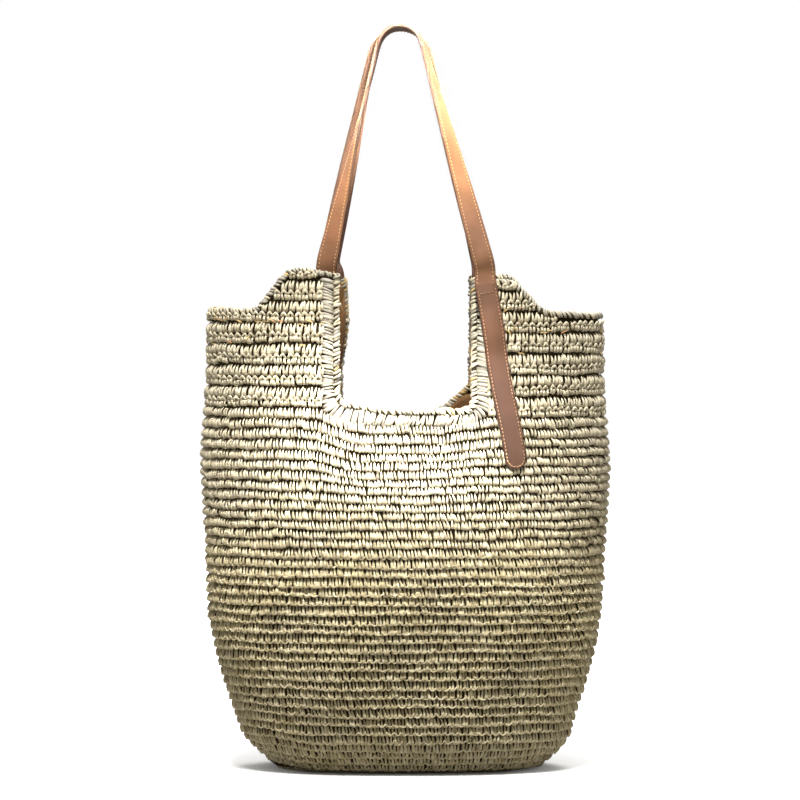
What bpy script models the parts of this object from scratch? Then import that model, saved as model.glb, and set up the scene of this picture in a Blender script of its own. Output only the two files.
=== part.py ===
"""Crocheted straw beach bag with two leather shoulder straps, in metres, +Z up.

The bag stands on the floor with the middle of its base at the origin. -Y is its front and
+X is to the right. Each strap is sewn outside one ear of its own side and inside the other.
"""

import bmesh
import bpy
import numpy as np
from math import acos, atan2, cos, pi, radians, sin, sqrt
from mathutils import Matrix, Vector

# Driving dimensions of the straw shell
BASE_HALF = (0.128, 0.046)        # flat oval that the bag rests on, half width and half depth
FOOT_GROWTH = (0.035, 0.026)      # how much the round foot adds to them
FOOT_HEIGHT = 0.040
BELLY_HALF = (0.197, 0.083)       # widest and deepest half sizes
WIDEST_AT = 0.280
DEEPEST_AT = 0.215
MOUTH_HALF = (0.192, 0.043)       # at the level of the ear tops
ROUNDNESS = 2.4                   # exponent of the oval's superellipse
STRAW = 0.005                     # thickness of the crochet
GAP = 0.0005                      # between touching pieces

# Rim: an ear on each side of the cutout of each panel, a slope, and a level side
CUTOUT_HALF = 0.063
CUTOUT_Z = 0.3535
EAR_TOP = 0.477
EAR_LEAN = 0.003                  # the ear with the strap inside it stands this much higher
EAR_OUTER = 0.108                 # |x| where the ear top ends and the slope starts
SLOPE_FOOT = 0.150                # |x| where the slope ends
SIDE_TOP = 0.443
EDGING_R = 0.0038                 # the crocheted edging is a bead of this radius
BASE_SPLIT = 0.006                # height where the base ends and the rounds begin
UNDER_EDGING = 0.0002             # the rounds stop this far under the edging of a cutout's floor

# The edging's path cuts the corners between an ear, a cutout's side and its floor
EAR_CORNER = 0.018                # bearing between the last ear point and the cutout's edge
FLOOR_CORNER = 0.035              # bearing between the edge and the first floor point
EAR_CORNER_DROP = 0.003           # first point of the side, under the ear's edging
FLOOR_CORNER_LIFT = 0.006         # last point of the side, over the floor's edging

# Lining
LINING = 0.0012
LINING_INSET = 0.0056             # from the outer straw surface to the lining's outer face
LINING_SPLIT = 0.030

# Straps
STRAP_WIDTH = 0.0205
PLY = 0.0014
PLY_GAP = 0.0002
FOOT_X = 0.0765
HINGE_Z = 0.487
HINGE_REACH = (0.0447, 0.0330)    # the hinge's distance from the middle, outside and inside end
ARM_START = 0.0042                # the moving arch starts this far above its hinge
END_TOP = 0.0034                  # and the sewn end stops this far below it
APEX = (-0.0045, 0.0125, 0.7195)  # x, distance from the middle, z, on the strap's centre line
FRONT_BEND = 0.022                # radius of the front arch's top
BACK_BEND = 0.029
TWIST = (1.3, 2.4)                # how early the outside and the inside leg turn edge-on

# Sewn ends and tabs
TAB_WIDTH = 0.0214
TAB_THICK = 0.0020
TAB_TOP = 0.469
TAB_FOOT = (0.1052, 0.294)        # x and z of the tab's rounded lower end
OUTSIDE_END_Z = 0.425
INSIDE_END_Z = 0.400
REST_OUT = 0.0006                 # leather stands this far off the straw
OVER_EDGING = 0.0020              # and this far where it crosses the edging's bead
OFF_LINING = 0.0010               # and the inside end this far off the lining
EDGING_LEVEL = 0.420              # from this height up
STEP_UP = 0.018                   # in a slope this long
TAB_STEP = 0.022                  # the tab comes down off the sewn end in a slope this long
TAB_OVERHANG = 0.002              # that slope starts this far below the sewn end
TAB_TIP_CUT = radians(18)         # the round end starts this far round, at a short straight edge

# How finely the faceted solids are cut
EAR_COLUMNS = 10                  # in a quarter of the oval, from the side to the cutout
CUTOUT_COLUMNS = 3                # and from there to the middle
FOOT_ROWS = (0.0, 0.006, 0.014, 0.025)
BODY_ROWS = 8
EAR_ROWS = 3
EAR_BEADS = 29                    # points of the edging's path from ear to ear
SIDE_BEADS = 8                    # up the side of a cutout
FLOOR_BEADS = 9                   # and along its floor
ARCH_STEPS = 36
FAR = 0.5                         # how far a cutter reaches past the bag
NEAR = 0.001                      # step along a surface when its direction is measured

FRONT = -1
BACK = 1


def ease(t):
    """A smooth step from 0 to 1."""
    t = min(max(t, 0.0), 1.0)
    return t * t * (3 - 2 * t)


def half_size(z, k):
    """The oval's half width (k = 0) or half depth (k = 1) at a height."""
    foot_top = BASE_HALF[k] + FOOT_GROWTH[k]
    if z < FOOT_HEIGHT:
        return foot_top - FOOT_GROWTH[k] * (1 - z / FOOT_HEIGHT) ** 1.6
    fullest = (WIDEST_AT, DEEPEST_AT)[k]
    if z < fullest:
        t = (fullest - z) / (fullest - FOOT_HEIGHT)
        return BELLY_HALF[k] - (BELLY_HALF[k] - foot_top) * t ** 2.4
    t = (z - fullest) / (EAR_TOP - fullest)
    lean = ease(t) if k == 0 else t ** 1.6
    return BELLY_HALF[k] - (BELLY_HALF[k] - MOUTH_HALF[k]) * lean


def wall_at(bearing, z):
    """The point of the outer straw surface at a bearing around the oval and a height."""
    c = cos(bearing)
    s = sin(bearing)
    x = half_size(z, 0) * np.sign(c) * abs(c) ** (2 / ROUNDNESS)
    y = half_size(z, 1) * np.sign(s) * abs(s) ** (2 / ROUNDNESS)
    return Vector((float(x), float(y), z))


def panel_at(x, z, side, out):
    """The point over the front or back panel at x and z, out from the straw along its normal."""

    def surface(px, pz):
        share = 1 - min(abs(px) / half_size(pz, 0), 1.0) ** ROUNDNESS
        return Vector((px, side * half_size(pz, 1) * share ** (1 / ROUNDNESS), pz))

    along = surface(x + NEAR, z) - surface(x - NEAR, z)
    up = surface(x, z + NEAR) - surface(x, z - NEAR)
    normal = along.cross(up).normalized()
    if normal.y * side < 0:
        normal = -normal
    return surface(x, z) + normal * out


def quarter_bearings():
    """Bearings from the side (0) to the middle of the back (90 degrees), evenly spaced along
    the oval on each side of the cutout's edge."""
    edge_x = CUTOUT_HALF + 2 * EDGING_R + GAP
    edge = acos((edge_x / half_size(CUTOUT_Z, 0)) ** (ROUNDNESS / 2))

    def spread(start, end, count):
        fine = np.linspace(start, end, 400)
        points = [wall_at(b, CUTOUT_Z) for b in fine]
        steps = [(b - a).length for a, b in zip(points, points[1:])]
        length = np.concatenate([[0.0], np.cumsum(steps)])
        return list(np.interp(np.linspace(0, length[-1], count + 1), length, fine))

    return spread(0, edge, EAR_COLUMNS)[:-1] + spread(edge, pi / 2, CUTOUT_COLUMNS)


def oval_bearings():
    """Bearings all round, counter-clockwise from +X, without the last one twice."""
    quarter = quarter_bearings()
    half = quarter + [pi - b for b in reversed(quarter[:-1])]
    return half[:-1] + [pi + b for b in half[:-1]]


def rim_z(bearing):
    """Height of the finished rim over an ear, its slope or the side of the bag."""
    at = wall_at(bearing, SIDE_TOP)
    ear = EAR_TOP
    if at.x * at.y > 0:
        ear += EAR_LEAN
    elif abs(at.y) > 1e-6:
        ear -= EAR_LEAN
    t = (SLOPE_FOOT - abs(at.x)) / (SLOPE_FOOT - EAR_OUTER)
    return SIDE_TOP + (ear - SIDE_TOP) * ease(t)


def ear_edge_z(bearing):
    """Height where an ear's straw and lining stop, just under the edging's bead."""
    step = 0.01
    run = (wall_at(bearing + step, SIDE_TOP) - wall_at(bearing - step, SIDE_TOP)).length
    slope = (rim_z(bearing + step) - rim_z(bearing - step)) / run
    return rim_z(bearing) - EDGING_R - (EDGING_R + 3 * GAP) * sqrt(1 + slope * slope)


def body_top_z():
    """Height where the rounds end, under the cutout's edging."""
    return CUTOUT_Z - 2 * EDGING_R - GAP


def material(name, colour, roughness):
    made = bpy.data.materials.new(name)
    made.use_nodes = True
    shader = made.node_tree.nodes["Principled BSDF"]
    shader.inputs["Base Color"].default_value = (*colour, 1.0)
    shader.inputs["Roughness"].default_value = roughness
    shader.inputs["Metallic"].default_value = 0.0
    return made


def sheet(name, points, wrap=False, floor=False, missing=lambda i, j: False):
    """An open surface through rows of points, its faces towards the left of the row's run.
    wrap closes each row, floor fills the first row, and missing cells are left out."""
    mesh = bmesh.new()
    width = len(points[0])
    last = width if wrap else width - 1
    verts = {}

    def vert(i, j):
        key = (i, j % width)
        if key not in verts:
            verts[key] = mesh.verts.new(points[i][j % width])
        return verts[key]

    for i in range(len(points) - 1):
        for j in range(last):
            if not missing(i, j):
                mesh.faces.new((vert(i, j), vert(i, j + 1), vert(i + 1, j + 1), vert(i + 1, j)))
    if floor:
        mesh.faces.new([vert(0, j) for j in reversed(range(width))])
    data = bpy.data.meshes.new(name)
    mesh.to_mesh(data)
    mesh.free()
    made = bpy.data.objects.new(name, data)
    part_collection.objects.link(made)
    return made


def thicken(piece, thickness, inset):
    """Gives an open surface its thickness, from inset under the surface inwards."""
    solid = piece.modifiers.new("thickness", "SOLIDIFY")
    solid.thickness = thickness
    solid.offset = -1 - 2 * inset / thickness
    solid.use_even_offset = True
    return piece


def finish(piece, look, origin=None):
    """Smooth shading, the material, and the origin at the piece's own joint."""
    piece.data.materials.append(look)
    piece.data.shade_smooth()
    piece.data.set_sharp_from_angle(angle=radians(40))
    if origin is not None:
        piece.data.transform(Matrix.Translation(-origin))
        piece.location = origin
    return piece


def bag_surface(name):
    """The outer straw surface as one open mesh: the flat base, the rounds and the four ears."""
    bearings = oval_bearings()
    cut = body_top_z()
    levels = list(FOOT_ROWS) + list(np.linspace(FOOT_HEIGHT, cut, BODY_ROWS + 1))
    points = [[wall_at(b, z) for b in bearings] for z in levels]
    for t in np.linspace(0, 1, EAR_ROWS + 1)[1:]:
        points.append([wall_at(b, cut + (ear_edge_z(b) - cut) * t) for b in bearings])
    ears_start = len(levels) - 1

    def over_cutout(i, j):
        from_side = j % (2 * (EAR_COLUMNS + CUTOUT_COLUMNS))
        return i >= ears_start and 0 <= from_side - EAR_COLUMNS < 2 * CUTOUT_COLUMNS

    return sheet(name, points, wrap=True, floor=True, missing=over_cutout)


def shell(name, thickness, inset, low, high, look):
    """The stretch of the bag's wall between the opposite corners of a box. Its outer face lies
    inset under the outer straw surface."""
    piece = thicken(bag_surface(name), thickness, inset)
    bpy.ops.mesh.primitive_cube_add(size=1.0)
    box = bpy.context.object
    box.name = name + "_stretch"
    box.location = (Vector(low) + Vector(high)) / 2
    box.scale = Vector(high) - Vector(low)
    box.hide_render = True
    box.display_type = "WIRE"
    for collection in list(box.users_collection):
        collection.objects.unlink(box)
    cutter_collection.objects.link(box)
    keep = piece.modifiers.new("stretch", "BOOLEAN")
    keep.operation = "INTERSECT"
    keep.object = box
    finish(piece, look)


def straw():
    """The crocheted base, the rounds above it, and a wing of two ears on each side."""
    base_top = BASE_SPLIT
    rounds = (BASE_SPLIT + GAP, CUTOUT_Z - 2 * EDGING_R - UNDER_EDGING)
    wings = rounds[1] + GAP
    shell("straw_base", STRAW, 0, (-FAR, -FAR, -FAR), (FAR, FAR, base_top), straw_dark)
    shell("straw_body", STRAW, 0, (-FAR, -FAR, rounds[0]), (FAR, FAR, rounds[1]), straw_light)
    shell("left_wing", STRAW, 0, (-FAR, -FAR, wings), (0, FAR, 2 * FAR), straw_light)
    shell("right_wing", STRAW, 0, (0, -FAR, wings), (FAR, FAR, 2 * FAR), straw_light)


def lining():
    """The cloth bag inside: a base piece, and a front and a back that meet at the side seams."""
    seam = LINING_SPLIT + GAP
    cut = (LINING, LINING_INSET)
    shell("lining_base", *cut, (-FAR, -FAR, -FAR), (FAR, FAR, LINING_SPLIT), cloth)
    shell("lining_front", *cut, (-FAR, -FAR, seam), (FAR, -GAP / 2, 2 * FAR), cloth)
    shell("lining_back", *cut, (-FAR, GAP / 2, seam), (FAR, FAR, 2 * FAR), cloth)


def rim_path():
    """Centre line of the edging: each cutout's floor, up its side, over the two ears."""
    edge_x = CUTOUT_HALF + EDGING_R
    edge = acos((edge_x / half_size(CUTOUT_Z, 0)) ** (ROUNDNESS / 2))
    floor_z = CUTOUT_Z - EDGING_R
    ear_corner = edge - EAR_CORNER
    floor_corner = edge + FLOOR_CORNER
    drop = EAR_CORNER_DROP
    lift = FLOOR_CORNER_LIFT
    flat = []
    for middle in (0.0, pi):
        for b in np.linspace(-ear_corner, ear_corner, EAR_BEADS):
            flat.append((middle + b, rim_z(middle + b) - EDGING_R))
        ear = rim_z(middle + edge) - EDGING_R
        for z in np.linspace(ear - drop, floor_z + lift, SIDE_BEADS):
            flat.append((middle + edge, z))
        for b in np.linspace(floor_corner, pi - floor_corner, FLOOR_BEADS):
            flat.append((middle + b, floor_z))
        next_ear = rim_z(middle + pi - edge) - EDGING_R
        for z in np.linspace(floor_z + lift, next_ear - drop, SIDE_BEADS):
            flat.append((middle + pi - edge, z))
    path = []
    for bearing, z in flat:
        along = wall_at(bearing + NEAR, z) - wall_at(bearing - NEAR, z)
        up = wall_at(bearing, z + NEAR) - wall_at(bearing, z - NEAR)
        inward = -along.cross(up).normalized()
        path.append(wall_at(bearing, z) + inward * STRAW / 2)
    return path


def rim_edging():
    """The crocheted bead all round the opening."""
    path = rim_path()
    data = bpy.data.curves.new("rim_edging", "CURVE")
    data.dimensions = "3D"
    data.bevel_depth = EDGING_R
    data.bevel_resolution = 1
    spline = data.splines.new("POLY")
    spline.points.add(len(path) - 1)
    for point, place in zip(spline.points, path):
        point.co = (*place, 1.0)
    spline.use_cyclic_u = True
    data.materials.append(straw_light)
    made = bpy.data.objects.new("rim_edging", data)
    part_collection.objects.link(made)


class Strap:
    """One shoulder strap. side is FRONT or BACK, and its outside end is at the right of the
    bag as seen from that side."""

    def __init__(self, name, side, bend):
        self.name = name
        self.side = side
        self.outside_x = -side * FOOT_X
        outside = Vector((self.outside_x, side * HINGE_REACH[0], HINGE_Z))
        inside = Vector((-self.outside_x, side * HINGE_REACH[1], HINGE_Z))
        self.feet = (outside, inside)
        self.hinge = (outside + inside) / 2
        self.across = (outside - inside).normalized()
        apex = Vector((APEX[0], side * APEX[1], APEX[2]))
        self.rise = apex - self.hinge
        self.rise -= self.across * self.rise.dot(self.across)
        self.height = self.rise.length
        self.rise.normalize()
        self.inward = self.across.cross(self.rise)
        if self.inward.y * side > 0:
            self.inward = -self.inward
        self.apex_u = (apex - self.hinge).dot(self.across)
        self.bend = bend

    def stations(self):
        """(place, outward, share, sign) along the arch from the outside foot to the inside one.
        place and outward lie in the arch's plane, and share runs from 0 at a foot to 1 on top."""
        centre = Vector((self.apex_u, self.height - self.bend))
        half_steps = ARCH_STEPS // 2
        legs = []
        for sign in (1, -1):
            foot = Vector((sign * (self.feet[0] - self.feet[1]).length / 2, 0.0))
            to_foot = foot - centre
            bearing = atan2(sign * to_foot.x, to_foot.y)
            touch = bearing - acos(self.bend / to_foot.length)
            meet = centre + self.bend * Vector((sign * sin(touch), cos(touch)))
            straight = (meet - foot).length
            total = straight + self.bend * touch
            run = []
            for k in range(half_steps + 1):
                s = ARM_START + (total - ARM_START) * k / half_steps
                angle = touch - max(0.0, s - straight) / self.bend
                outward = Vector((sign * sin(angle), cos(angle)))
                place = centre + self.bend * outward
                if s < straight:
                    place = foot.lerp(meet, s / straight)
                run.append((place, outward, s / total, sign))
            legs.append(run)
        return legs[0] + legs[1][-2::-1]

    def ply(self, name, high, look):
        """One ply of the arch, down from a height over the strap's middle surface."""
        points = []
        for place, outward, share, sign in self.stations():
            centre = self.hinge + self.across * place.x + self.rise * place.y
            out = self.across * outward.x + self.rise * outward.y
            early = TWIST[0] if sign > 0 else TWIST[1]
            turn = pi / 2 * (1 - (1 - share) ** early)
            width = cos(turn) * out + sin(turn) * self.inward
            face = sin(turn) * out - cos(turn) * self.inward
            half = STRAP_WIDTH / 2
            points.append([centre + width * w + face * high for w in (-half, half)])
        finish(thicken(sheet(name, points), PLY, 0), look, self.hinge)

    def build(self):
        self.ply(self.name + "_strap_outer_ply", PLY_GAP / 2 + PLY, leather)
        self.ply(self.name + "_strap_backing_ply", -PLY_GAP / 2, leather_back)
        self.sewn_end("outside")
        self.sewn_end("inside")
        self.tab()

    def line_x(self, z):
        """x of the outside end's centre line, which leans away from the cutout."""
        lean = (TAB_FOOT[0] - FOOT_X) / (TAB_TOP - TAB_FOOT[1])
        return -self.side * (FOOT_X + max(0.0, TAB_TOP - z) * lean)

    def end_out(self, z):
        """How far the outside end's inner face stands off the straw, over the edging."""
        return REST_OUT + (OVER_EDGING - REST_OUT) * ease((z - EDGING_LEVEL) / STEP_UP)

    def sewn_end(self, which):
        """The strap's end below the hinge, flat on the outside or the inside of its ear."""
        thick = 2 * PLY + PLY_GAP
        top = HINGE_Z - END_TOP
        points = []
        if which == "outside":
            for z in np.linspace(OUTSIDE_END_Z, top, 6):
                x = self.line_x(z)
                out = self.end_out(z) + thick
                points.append(self.across_row(x, z, out, STRAP_WIDTH, z < TAB_TOP))
        else:
            inset = LINING_INSET + LINING + OFF_LINING
            for z in np.linspace(INSIDE_END_Z, top, 7):
                x = -self.outside_x
                points.append(self.across_row(x, z, -inset, STRAP_WIDTH, False))
        made = sheet(f"{self.name}_strap_{which}_end", points)
        finish(thicken(made, thick, 0), leather)

    def across_row(self, x, z, out, width, leaning):
        """Points across a strip lying on the panel, square to its centre line."""
        tilt = 0.0
        if leaning:
            tilt = -self.side * (TAB_FOOT[0] - FOOT_X) / (TAB_TOP - TAB_FOOT[1])
        row = []
        for w in (-width / 2, 0.0, width / 2):
            w *= -self.side
            row.append(panel_at(x + w, z + w * tilt, self.side, out))
        return row

    def tab(self):
        """The long patch sewn over the outside end, round at the bottom."""
        thick = 2 * PLY + PLY_GAP
        step_top = OUTSIDE_END_Z - TAB_OVERHANG
        step_foot = step_top - TAB_STEP
        low = TAB_FOOT[1]
        round_r = TAB_WIDTH / 2
        points = []
        levels = [low + round_r * (1 - cos(a)) for a in np.linspace(TAB_TIP_CUT, pi / 2, 6)]
        levels += list(np.linspace(low + round_r, TAB_TOP, 12)[1:])
        for z in levels:
            over_end = ease((z - step_foot) / (step_top - step_foot))
            out = REST_OUT + over_end * (self.end_out(z) + thick + GAP - REST_OUT)
            below = max(0.0, low + round_r - z)
            width = 2 * sqrt(max(round_r * round_r - below * below, 0.0))
            points.append(self.across_row(self.line_x(z), z, out + TAB_THICK, width, True))
        made = sheet(self.name + "_outside_tab", points)
        finish(thicken(made, TAB_THICK, 0), leather)


for existing in list(bpy.data.objects):
    bpy.data.objects.remove(existing, do_unlink=True)

part_collection = bpy.data.collections.new("beach_bag")
bpy.context.scene.collection.children.link(part_collection)
cutter_collection = bpy.data.collections.new("cutters")
bpy.context.scene.collection.children.link(cutter_collection)

straw_light = material("straw_light", (0.72, 0.64, 0.46), 0.75)
straw_dark = material("straw_dark", (0.42, 0.36, 0.22), 0.80)
cloth = material("lining_cloth", (0.36, 0.21, 0.09), 0.85)
leather = material("leather", (0.56, 0.32, 0.17), 0.45)
leather_back = material("leather_backing", (0.26, 0.12, 0.06), 0.60)

straw()
rim_edging()
lining()
Strap("front", FRONT, FRONT_BEND).build()
Strap("back", BACK, BACK_BEND).build()
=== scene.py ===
"""Looks of the crocheted straw beach bag, in metres, +Z up: crochet worked stitch by stitch from
flat straw ribbon, a creased cloth lining, and leather straps and tabs with their topstitching."""

from math import acos, atan2, cos, pi, radians, sin, sqrt

import bpy
import numpy as np
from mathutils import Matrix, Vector


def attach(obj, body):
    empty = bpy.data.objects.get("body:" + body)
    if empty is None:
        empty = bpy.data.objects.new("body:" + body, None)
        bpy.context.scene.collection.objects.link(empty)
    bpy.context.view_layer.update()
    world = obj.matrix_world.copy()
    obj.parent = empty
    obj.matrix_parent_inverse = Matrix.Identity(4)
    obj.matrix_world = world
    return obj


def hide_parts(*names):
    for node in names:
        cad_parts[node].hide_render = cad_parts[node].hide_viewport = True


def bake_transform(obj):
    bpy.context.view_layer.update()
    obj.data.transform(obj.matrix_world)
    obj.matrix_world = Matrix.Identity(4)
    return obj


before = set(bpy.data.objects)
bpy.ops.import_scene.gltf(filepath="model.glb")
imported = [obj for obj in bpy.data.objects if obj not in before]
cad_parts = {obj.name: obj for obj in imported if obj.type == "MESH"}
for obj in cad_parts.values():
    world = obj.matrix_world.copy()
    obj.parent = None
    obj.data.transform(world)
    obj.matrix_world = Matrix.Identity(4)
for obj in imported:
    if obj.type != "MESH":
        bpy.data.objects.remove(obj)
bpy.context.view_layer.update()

# The bag's shape, as in the CAD
BASE_HALF = (0.128, 0.046)        # flat oval that it rests on, half width and half depth
FOOT_GROWTH = (0.035, 0.026)
FOOT_HEIGHT = 0.040
BELLY_HALF = (0.197, 0.083)
WIDEST_AT = 0.280
DEEPEST_AT = 0.215
MOUTH_HALF = (0.192, 0.043)
ROUNDNESS = 2.4                   # exponent of the oval's superellipse
STRAW = 0.005
CUTOUT_HALF = 0.063
CUTOUT_Z = 0.3535
EAR_TOP = 0.477
EAR_LEAN = 0.003                  # the ear with the strap inside it stands this much higher
EAR_OUTER = 0.108
SLOPE_FOOT = 0.150
SIDE_TOP = 0.443
EDGING_R = 0.0038
LINING_INSET = 0.0056
LINING = 0.0012
LINING_SPLIT = 0.030

# The straps and tabs, as in the CAD
STRAP_WIDTH = 0.0205
PLY = 0.0014
PLY_GAP = 0.0002
FOOT_X = 0.0765
HINGE_Z = 0.487
HINGE_REACH = (0.0447, 0.0330)
ARM_START = 0.0042
END_TOP = 0.0034
APEX = (-0.0045, 0.0125, 0.7195)
FRONT_BEND = 0.022
BACK_BEND = 0.029
TWIST = (1.3, 2.4)
TAB_WIDTH = 0.0214
TAB_THICK = 0.0020
TAB_TOP = 0.469
TAB_FOOT = (0.1052, 0.294)
OUTSIDE_END_Z = 0.425
INSIDE_END_Z = 0.400
REST_OUT = 0.0006
OVER_EDGING = 0.0020
EDGING_LEVEL = 0.420
STEP_UP = 0.018
TAB_STEP = 0.022

# Crochet
STITCH = 0.0068                   # width of one stitch in the rounds
ROUND_PITCH = (0.0090, 0.0101)    # height of a round, low down and under the cutouts
ROW_PITCH = 0.0102                # height of a row of the wings
WING_STITCH = 0.0069
FIRST_ROUND = 0.004               # where the rounds of the wall start
ROUNDS_TOP = 0.353                # and where they end, on the left
RIGHT_DROOP = 0.010               # the rounds lie this much lower on the right
MIDDLE_DROOP = 0.0165             # and this much lower under the cutouts
DROOP_FROM = 0.225                # height where the droop starts
CORNER = 0.009                    # radius of the cutout's lower corners
BAND = 0.0175                     # width of the edging round a cutout
RIB = 0.0036                      # width of one rib of the edging
SHADE_LAYER_OUT = (-0.0031, -0.0046)      # inner layer behind the stitches, dark with painted shade
STRAW_BACK = 0.0016               # the stitches' mean surface lies this far inside the CAD's
BASE_STITCH_Z = 0.0022            # middle of the base's stitches
BASE_SHADE_LAYER_Z = (0.0034, 0.0048)   # and the layer over them, dark with painted shade
LOWEST = 0.0002
NEAR = 0.0005                     # step along the surface when its direction is measured
SIDES = 6                         # of a strand of straw or thread
AROUND = np.arange(SIDES) * 2 * pi / SIDES + pi / SIDES
TURNED = [0, 3, 2, 1]             # the corners of a face that looks the other way
CORE_R = 0.0026                   # of the core inside the rim's ribs, dark with painted shade
CLOTH = 0.0006                    # thickness of the lining's cloth
THREAD_PITCH = 0.0007             # and from thread to thread in it
HUNG_IN = LINING_INSET + 0.0004   # from the outer straw surface to the middle of the cloth

# Sewing thread: a stitch dips into the leather at its ends
GROOVE = 0.78                     # where a seam presses the leather in, in half widths
THREAD_SPACING = 0.0035
THREAD_STITCH = 0.0019
THREAD_R = 0.0004
ARCH_STEPS = 90                   # along each leg of a strap's arch
THREAD_SHAPE = np.array([0.6, 1.0, 1.05, 1.0, 0.6])
THREAD_DIP = np.array([-0.00035, 0.00012, 0.00020, 0.00012, -0.00035])

# Light and camera
WORLD_LIGHT = 0.30
FLOOR_BOUNCE = (0.34, 0.33, 0.31)
CAMERA_AT = (-0.005, -3.0, 0.45)
CAMERA_PITCH = radians(1.75)
CAMERA_LENS = 138.7

# Each light's name, place, aim, width and depth in metres, watts and spread in degrees
LIGHTS = (
    ("key", (-0.15, -0.85, 2.6), (0, 0, 0.3), (0.8, 0.6), 104.0, 180.0),
    ("front_pool", (-0.10, -1.3, 2.1), (-0.01, -0.08, 0.345), (0.22, 0.08), 0.60, 5.2),
    ("strap_pool", (0.0, -1.6, 1.9), (0, 0, 0.68), (0.12, 0.12), 1.6, 8.0),
    ("back", (0.4, 1.2, 2.0), (0, 0, 0.35), (1.2, 1.0), 35.0, 180.0),
)

FRONT = -1
BACK = 1
rng = np.random.default_rng(11)


# ---------------------------------------------------------------- the bag's surface

def ease(t):
    t = np.clip(t, 0.0, 1.0)
    return t * t * (3 - 2 * t)


def half_size(z, k):
    """The oval's half width (k = 0) or half depth (k = 1) at a height."""
    z = np.maximum(np.asarray(z, float), 0.0)
    foot_top = BASE_HALF[k] + FOOT_GROWTH[k]
    foot = foot_top - FOOT_GROWTH[k] * np.maximum(1 - z / FOOT_HEIGHT, 0) ** 1.6
    fullest = (WIDEST_AT, DEEPEST_AT)[k]
    below = np.clip((fullest - z) / (fullest - FOOT_HEIGHT), 0, 1)
    belly = BELLY_HALF[k] - (BELLY_HALF[k] - foot_top) * below ** 2.4
    above = np.maximum((z - fullest) / (EAR_TOP - fullest), 0)
    lean = ease(above) if k == 0 else above ** 1.6
    upper = BELLY_HALF[k] - (BELLY_HALF[k] - MOUTH_HALF[k]) * lean
    return np.where(z < FOOT_HEIGHT, foot, np.where(z < fullest, belly, upper))


def growth(z, k):
    """How fast that half size grows with height."""
    return (half_size(z + NEAR, k) - half_size(z - NEAR, k)) / (2 * NEAR)


def oval(bearing, a, c, z):
    """Points at bearings round a superellipse of half width a and half depth c."""
    cb, sb = np.cos(bearing), np.sin(bearing)
    x = a * np.sign(cb) * np.abs(cb) ** (2 / ROUNDNESS)
    y = c * np.sign(sb) * np.abs(sb) ** (2 / ROUNDNESS)
    return np.stack([x, y, np.broadcast_to(z, x.shape)], -1)


def wall(bearing, z):
    """Points of the outer surface at bearings round the oval and heights."""
    return oval(bearing, half_size(z, 0), half_size(z, 1), z)


def panel(x, z, side):
    """Points of the front or back panel at x and z."""
    x, z = np.broadcast_arrays(np.asarray(x, float), np.asarray(z, float))
    share = np.maximum(1 - np.minimum(np.abs(x) / half_size(z, 0), 1) ** ROUNDNESS, 0)
    return np.stack([x, side * half_size(z, 1) * share ** (1 / ROUNDNESS), z], -1)


def normal(p):
    """Outward normals of the surface at points on it."""
    x, y, z = p[..., 0], p[..., 1], p[..., 2]
    a, c = half_size(z, 0), half_size(z, 1)
    qx, qy = np.abs(x / a), np.abs(y / c)
    n = ROUNDNESS
    slope = np.stack([
        qx ** (n - 1) * np.sign(x) / a,
        qy ** (n - 1) * np.sign(y) / c,
        -(qx ** n * growth(z, 0) / a + qy ** n * growth(z, 1) / c),
    ], -1)
    return slope / np.linalg.norm(slope, axis=-1, keepdims=True)


def settle(p):
    """The soft unevenness of a bag that stands on its own: shallow dents, none at the rim."""
    x, y, z = p[..., 0], p[..., 1], p[..., 2]
    free = ease(z / 0.09) * ease((0.435 - z) / 0.09)
    moved = p.copy()
    moved[..., 1] += free * 0.0028 * np.sin(19 * x + 11 * z + 24 * y + 0.6) * np.sin(15 * z + 0.7)
    moved[..., 1] += free * 0.0011 * np.sin(47 * x - 31 * z + 30 * y)
    moved[..., 0] += free * 0.0014 * np.sin(38 * z + 9 * x + 1.2)
    moved[..., 2] += 0.007 * ease((-x - 0.080) / 0.075) * (1 - ease(z / 0.10))
    back_ear = ease((y - 0.02) / 0.03) * ease((-x - 0.02) / 0.03) * ease((0.165 + x) / 0.05)
    moved[..., 0] += 0.008 * back_ear * ease((z - 0.365) / 0.085)
    return moved


def out_from(p, out):
    """Settled points, out from the surface along its normal."""
    out = np.broadcast_to(out, p.shape[:-1])[..., None]
    return settle(p + normal(p) * (out - STRAW_BACK))


def shade_layer_row(p):
    """The outer and the inner point of the layer of painted shade behind each point of the surface."""
    return np.stack([out_from(p, o) for o in SHADE_LAYER_OUT], 1)


def rim_z(bearing):
    """Height of the finished rim over an ear, its slope or the side of the bag."""
    at = wall(bearing, SIDE_TOP)
    x = at[..., 0]
    ear = EAR_TOP + np.where(x * at[..., 1] > 0, EAR_LEAN, -EAR_LEAN)
    t = (SLOPE_FOOT - np.abs(x) - 0.010 * ease(x / 0.05)) / (SLOPE_FOOT - EAR_OUTER)
    uneven = 0.0006 * np.sin(43 * x + 2.0) + 0.0004 * np.sin(97 * x)
    uneven = uneven + 0.0045 * ease((-x - 0.062) / 0.040) * ease((0.126 + x) / 0.030)
    lifted = 0.0030 - 0.0105 * x + uneven
    return SIDE_TOP + (ear - SIDE_TOP) * ease(t) + lifted


def floor_lift(x, side):
    """How far the floor of a cutout lies over its level in the CAD: it sags in the middle."""
    if side == FRONT:
        return -0.0010 + 0.0060 * ease((-x - 0.015) / 0.040)
    return -0.0055 + 0.0060 * ease((-x - 0.020) / 0.040) + 0.0210 * ease((x - 0.030) / 0.034)


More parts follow.
